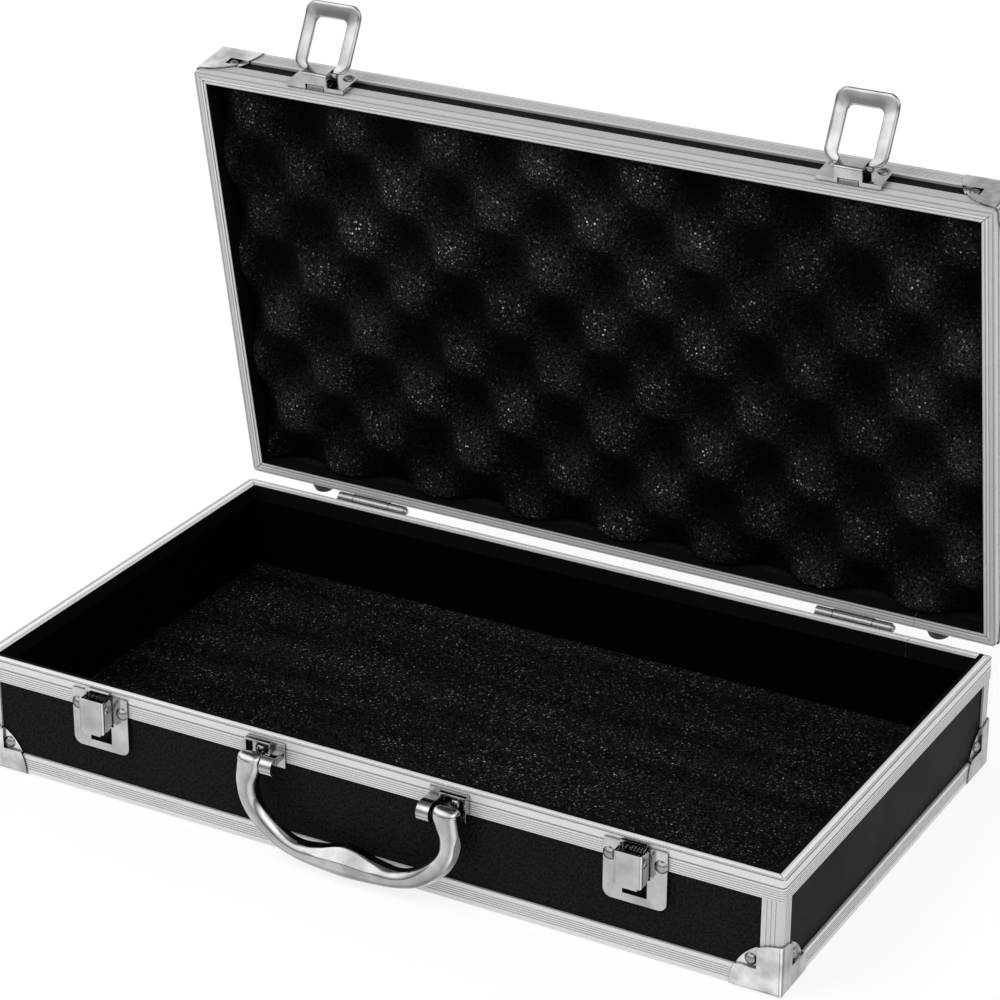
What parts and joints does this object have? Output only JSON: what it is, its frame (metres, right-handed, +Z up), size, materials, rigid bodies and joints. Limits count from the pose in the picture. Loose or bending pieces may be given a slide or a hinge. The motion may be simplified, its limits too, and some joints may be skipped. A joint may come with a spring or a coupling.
{
  "type": "aluminium briefcase",
  "caption": "Shallow framed briefcase, lid standing open on rear hinges, with front latches, fold-over hasps, a swinging carrying handle, corner protectors and foam pads.",
  "frame": {"origin": "centre of the open case's bounding box on the floor plane", "axes": "+X along the case's width, to the right seen from the handle side; +Y from the handle side to the hinge side; +Z up"},
  "size_m": [0.4026, 0.2694, 0.3175],
  "materials": {
    "panel": "fine leather grain",
    "frame": "satin, finely ribbed",
    "plated": "polished plating",
    "steel": "satin",
    "foam": "open cell foam",
    "lining": "dull",
    "rubber": "matte"
  },
  "bodies": {
    "base": {"base_bottom_panel": "panel", "base_front_panel": "panel", "base_back_panel": "panel", "base_left_panel": "panel", "base_right_panel": "panel", "base_rim": "frame", "base_rail_front": "frame", "base_rail_back": "frame", "base_rail_left": "frame", "base_rail_right": "frame", "base_posts_front": "frame", "base_posts_back": "frame", "base_protectors_front": "plated", "base_protectors_back": "plated", "base_protector_rivets": "steel", "base_lining": "lining", "base_floor_foam": "foam", "base_rear_feet": "rubber", "latch_plate_left": "plated", "latch_plate_right": "plated", "latch_pins": "steel", "latch_rivets": "steel", "handle_bracket_left": "plated", "handle_bracket_right": "plated", "handle_screws": "steel", "handle_pins": "steel", "hinge_base_leaf_left": "steel", "hinge_base_leaf_right": "steel", "hinge_pins": "steel", "hinge_base_rivets": "steel"},
    "lid": {"hinge_lid_leaf_left": "steel", "hinge_lid_leaf_right": "steel", "hinge_lid_rivets": "steel", "lid_top_panel": "panel", "lid_front_panel": "panel", "lid_back_panel": "panel", "lid_left_panel": "panel", "lid_right_panel": "panel", "lid_rim": "frame", "lid_rail_front": "frame", "lid_rail_back": "frame", "lid_rail_left": "frame", "lid_rail_right": "frame", "lid_posts": "frame", "lid_protectors_front": "plated", "lid_protectors_back": "plated", "lid_protector_rivets": "steel", "lid_foam": "foam", "lid_rear_feet": "rubber", "hasp_plate_left": "plated", "hasp_plate_right": "plated", "hasp_rivets": "steel", "hasp_springs": "steel"},
    "handle": {"handle": "plated"},
    "hasp_left": {"hasp_loop_left": "plated"},
    "hasp_right": {"hasp_loop_right": "plated"},
    "lever_left": {"latch_lever_left": "plated", "latch_spring_left": "steel"},
    "lever_right": {"latch_lever_right": "plated", "latch_spring_right": "steel"}
  },
  "joints": [
    {"name": "lid_hinge", "type": "hinge", "parent": "base", "child": "lid", "pos_m": [0, 0.10873, 0.05545], "axis": [1, 0, 0], "range_deg": [-15.4, 79.6]},
    {"name": "handle_swing", "type": "hinge", "parent": "base", "child": "handle", "pos_m": [0, -0.12767, 0.0465], "axis": [-1, 0, 0], "range_deg": [0, 165]},
    {"name": "hasp_left_swing", "type": "hinge", "parent": "lid", "child": "hasp_left", "pos_m": [-0.1334, 0.07339, 0.28708], "axis": [-1, 0, 0], "range_deg": [-130, 25]},
    {"name": "hasp_right_swing", "type": "hinge", "parent": "lid", "child": "hasp_right", "pos_m": [0.1334, 0.07339, 0.28708], "axis": [-1, 0, 0], "range_deg": [-130, 25]},
    {"name": "lever_left_press", "type": "hinge", "parent": "base", "child": "lever_left", "pos_m": [-0.1334, -0.12377, 0.0481], "axis": [-1, 0, 0], "range_deg": [0, 15], "stiffness_Nm_per_rad": 0.03, "springref_deg": -11.46},
    {"name": "lever_right_press", "type": "hinge", "parent": "base", "child": "lever_right", "pos_m": [0.1334, -0.12377, 0.0481], "axis": [-1, 0, 0], "range_deg": [0, 15], "stiffness_Nm_per_rad": 0.03, "springref_deg": -11.46}
  ]
}
